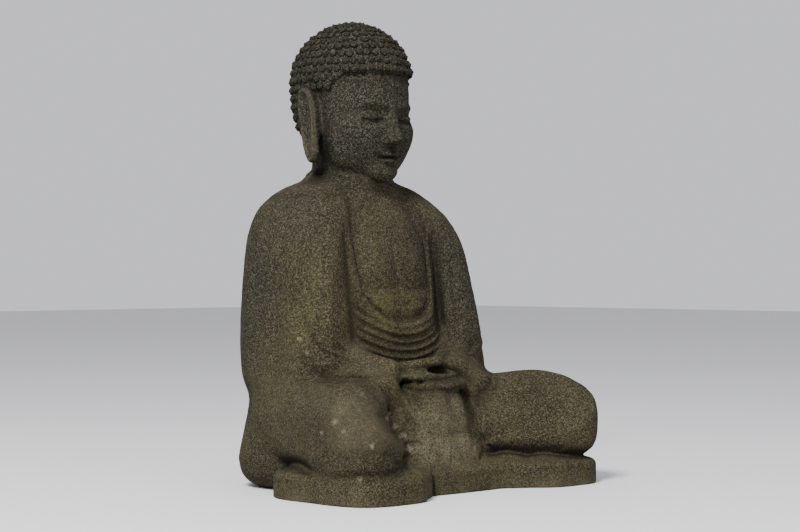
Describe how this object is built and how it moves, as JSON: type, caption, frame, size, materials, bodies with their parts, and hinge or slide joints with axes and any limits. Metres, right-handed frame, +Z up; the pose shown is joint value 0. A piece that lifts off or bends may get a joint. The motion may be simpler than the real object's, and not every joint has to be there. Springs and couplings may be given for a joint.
{
  "type": "seated buddha statue",
  "caption": "Seated stone Buddha in meditation, robed over both shoulders, with snail-shell curls and long ears, on the broad flat hem of its robe.",
  "frame": {"origin": "on the ground, under the middle of the statue's bounding box", "axes": "+Z up; the figure looks along -Y; its left hand is on the +X side"},
  "size_m": [0.3068, 0.2284, 0.4006],
  "materials": {
    "volcanic_stone": "rough, coarse grained, matte"
  },
  "bodies": {
    "root": {"seated_buddha": "volcanic_stone"}
  },
  "joints": []
}
